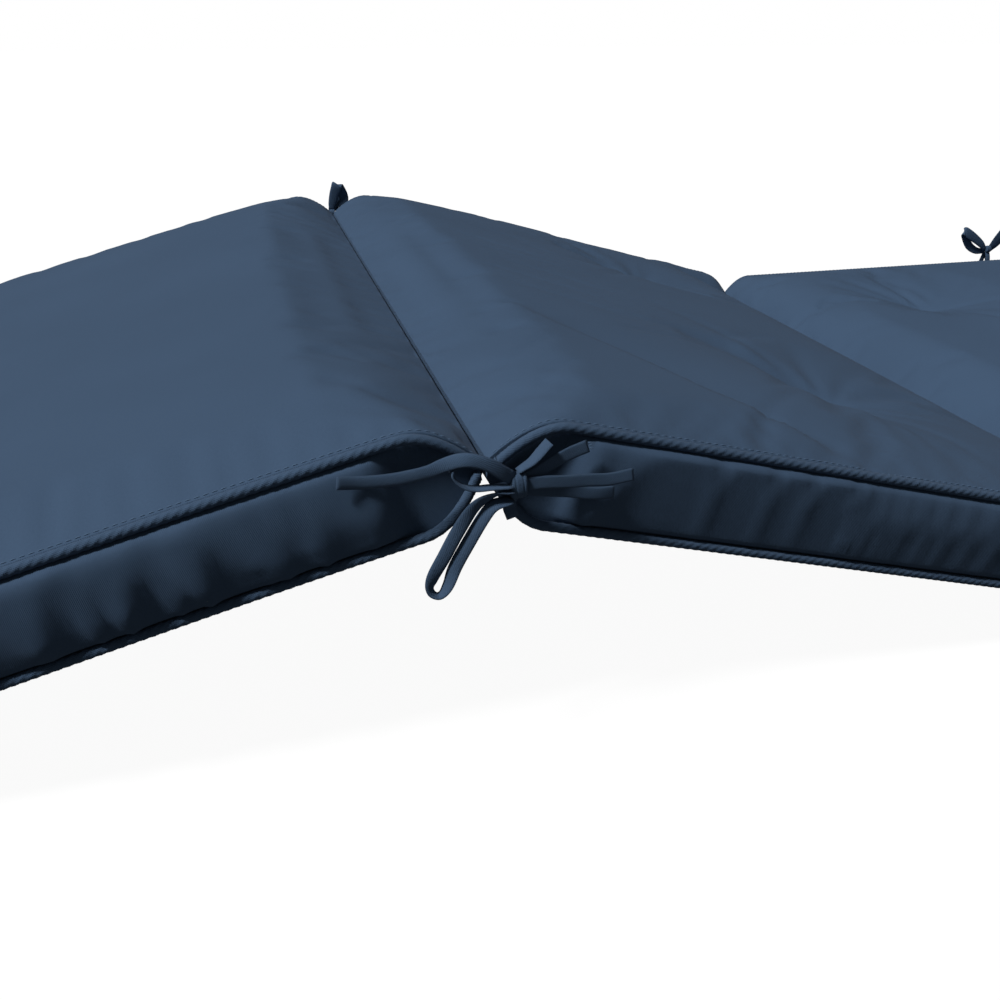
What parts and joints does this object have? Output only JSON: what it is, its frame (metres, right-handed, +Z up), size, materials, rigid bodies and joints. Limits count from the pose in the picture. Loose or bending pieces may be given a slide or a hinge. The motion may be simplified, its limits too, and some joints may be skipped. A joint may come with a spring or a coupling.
{
  "type": "sun lounger cushion",
  "caption": "Long boxed lounger cushion of tufted filled sections, hinged at sewn folds, with corded piping and fabric ties.",
  "frame": {"origin": "on the surface the cushion lies on, under the middle of its length and width", "axes": "+X along the cushion from its foot end to its head end, +Y across it, +Z up"},
  "size_m": [1.8696, 0.6261, 0.1538],
  "materials": {
    "cover": "matte",
    "piping": "matte",
    "ties": "matte"
  },
  "bodies": {
    "root": {"back_far_knot": "ties", "back_far_loop_left": "ties", "back_far_loop_right": "ties", "back_far_root": "ties", "back_far_tail_left": "ties", "back_far_tail_right": "ties", "back_near_knot": "ties", "back_near_loop_left": "ties", "back_near_loop_right": "ties", "back_near_root": "ties", "back_near_tail_left": "ties", "back_near_tail_right": "ties", "back_pad": "cover", "back_piping_bottom": "piping", "back_piping_top": "piping", "fold1_far_knot": "ties", "fold1_far_loop_left": "ties", "fold1_far_loop_right": "ties", "fold1_far_tail_left": "ties", "fold1_near_knot": "ties", "fold1_near_loop": "ties", "fold1_near_ring": "ties", "fold1_near_root": "ties", "fold1_near_strap": "ties", "fold1_near_tail_high": "ties", "fold1_near_tail_left": "ties", "fold1_near_tail_low": "ties", "fold1_near_tail_mid": "ties", "fold1_near_tail_tip": "ties", "fold2_far_knot": "ties", "fold2_far_tail_left": "ties", "fold2_far_tail_right": "ties", "fold2_near_knot": "ties", "fold2_near_tail_left": "ties", "fold2_near_tail_right": "ties", "foot_pad": "cover", "foot_piping_bottom": "piping", "foot_piping_top": "piping", "seat_pad": "cover", "seat_piping_far_bottom": "piping", "seat_piping_far_top": "piping", "seat_piping_near_bottom": "piping", "seat_piping_near_top": "piping"}
  },
  "joints": []
}
